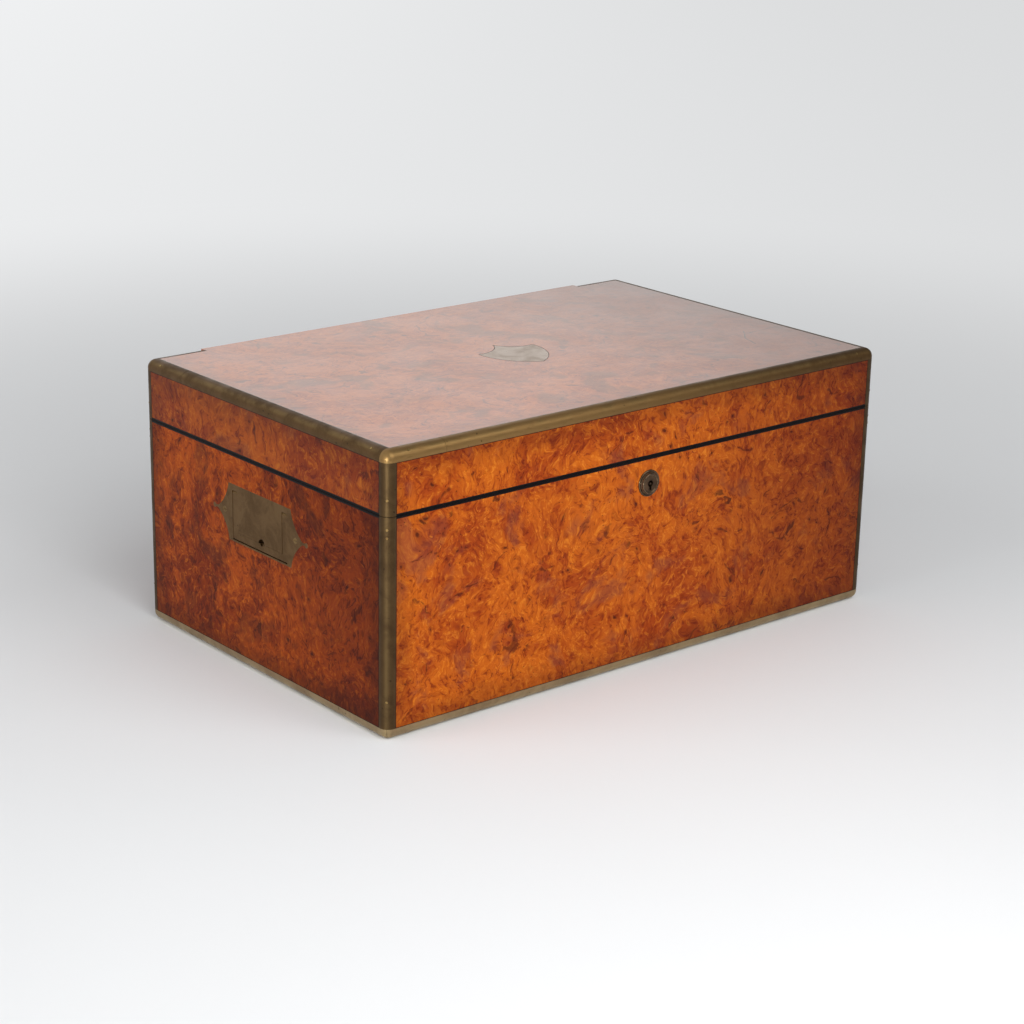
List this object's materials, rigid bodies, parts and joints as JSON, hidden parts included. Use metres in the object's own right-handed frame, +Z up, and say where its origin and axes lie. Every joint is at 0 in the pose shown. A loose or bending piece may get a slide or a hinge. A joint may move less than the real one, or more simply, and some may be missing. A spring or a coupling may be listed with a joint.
{
  "type": "fitted dressing box",
  "caption": "Brass-bound burr-veneered dressing box: hinged lid with tilting mirror, fitted glass rack, lift-out tray, end drawer and flush carrying handles.",
  "frame": {"origin": "centre of the flat underside", "axes": "+X along the long side towards the drawer end, front faces -Y, +Z up"},
  "size_m": [0.436, 0.2822, 0.19],
  "materials": {
    "burr_veneer": "french polished",
    "burr_veneer_end": "french polished",
    "mahogany": "satin",
    "ebony": "polished",
    "aged_brass": "aged",
    "bright_brass": "polished",
    "nose_bronze": "aged",
    "shield_plate": "aged",
    "steel": "satin",
    "velvet": "pile",
    "lid_leather": "satin",
    "cut_glass": "clear",
    "silver_plate": "polished",
    "looking_glass": "silvered"
  },
  "bodies": {
    "case": {"case_front_board": "mahogany", "case_back_board": "mahogany", "case_left_board": "mahogany", "case_right_board": "mahogany", "case_bottom_board": "mahogany", "case_front_veneer": "burr_veneer", "case_back_veneer": "burr_veneer", "case_left_veneer": "burr_veneer_end", "case_right_veneer": "burr_veneer_end", "case_rim_lipping": "ebony", "case_corner_posts": "aged_brass", "bottom_binding": "aged_brass", "case_pins_and_screws": "bright_brass", "hinge_case_leaves": "bright_brass", "pivot_pins": "steel", "lock_case": "bright_brass", "lock_nose": "nose_bronze", "handle_left_plate": "aged_brass", "handle_right_plate": "aged_brass", "case_lining": "velvet", "deck_board": "mahogany", "drawer_guides": "mahogany", "rack_partitions": "mahogany", "rack_posts_and_ledges": "mahogany", "glass_bottles": "cut_glass", "glass_jars_left": "cut_glass", "glass_jars_right": "cut_glass", "glass_long_boxes": "cut_glass", "plated_caps": "silver_plate"},
    "lid": {"lid_top_board": "mahogany", "lid_front_board": "mahogany", "lid_back_board": "mahogany", "lid_end_boards": "mahogany", "lid_top_veneer": "burr_veneer", "lid_side_veneers": "burr_veneer", "lid_rim_lipping": "ebony", "lid_corner_caps": "aged_brass", "lid_corner_posts": "aged_brass", "lid_edge_strips": "aged_brass", "lid_shield": "shield_plate", "lid_pins_and_screws": "bright_brass", "hinge_lid_leaves": "bright_brass", "lock_link_plate": "bright_brass", "lid_lining": "velvet"},
    "mirror": {"mirror_frame": "lid_leather", "mirror_glass": "looking_glass", "mirror_tab": "lid_leather"},
    "lock_turn": {"lock_barrel": "nose_bronze"},
    "lock_slide": {"lock_bolt": "steel"},
    "left_bail": {"handle_left_bail": "aged_brass"},
    "right_bail": {"handle_right_bail": "aged_brass"},
    "tray": {"tray_box": "mahogany", "tray_lining": "velvet"},
    "drawer": {"drawer_box": "mahogany", "drawer_veneer": "burr_veneer_end", "drawer_lining": "velvet", "drawer_pull_plate": "aged_brass", "drawer_pull_pins_and_screws": "bright_brass"},
    "pull_bail": {"drawer_pull_bail": "aged_brass"},
    "locking_pin": {"drawer_pin": "bright_brass"}
  },
  "joints": [
    {"name": "lid_open", "type": "hinge", "parent": "case", "child": "lid", "pos_m": [0, 0.1389, 0.148], "axis": [-1, 0, 0], "range_deg": [0, 100]},
    {"name": "mirror_tilt", "type": "hinge", "parent": "lid", "child": "mirror", "pos_m": [0, 0.1158, 0.1682], "axis": [1, 0, 0], "range_deg": [0, 10]},
    {"name": "lock_key_turn", "type": "hinge", "parent": "case", "child": "lock_turn", "pos_m": [0, -0.1385, 0.13], "axis": [0, 1, 0], "range_deg": [0, 90]},
    {"name": "lock_bolt_throw", "type": "slide", "parent": "case", "child": "lock_slide", "axis": [1, 0, 0], "range_m": [0, 0.00707]},
    {"name": "handle_left_lift", "type": "hinge", "parent": "case", "child": "left_bail", "pos_m": [-0.21615, 0, 0.1206], "axis": [0, 1, 0], "range_deg": [0, 90]},
    {"name": "handle_right_lift", "type": "hinge", "parent": "case", "child": "right_bail", "pos_m": [0.21615, 0, 0.1206], "axis": [0, -1, 0], "range_deg": [0, 90]},
    {"name": "tray_lift", "type": "slide", "parent": "case", "child": "tray", "axis": [0, 0, 1], "range_m": [0, 0.035]},
    {"name": "drawer_slide", "type": "slide", "parent": "case", "child": "drawer", "axis": [1, 0, 0], "range_m": [0, 0.23]},
    {"name": "drawer_pull_lift", "type": "hinge", "parent": "drawer", "child": "pull_bail", "pos_m": [0.21685, 0, 0.0351], "axis": [0, -1, 0], "range_deg": [0, 90]},
    {"name": "drawer_pin_drop", "type": "slide", "parent": "case", "child": "locking_pin", "axis": [0, 0, -1], "range_m": [0, 0.006]}
  ],
  "couplings": [
    {"joint": "lock_key_turn", "follows": "lock_bolt_throw", "rad_per_m": 222.15}
  ]
}
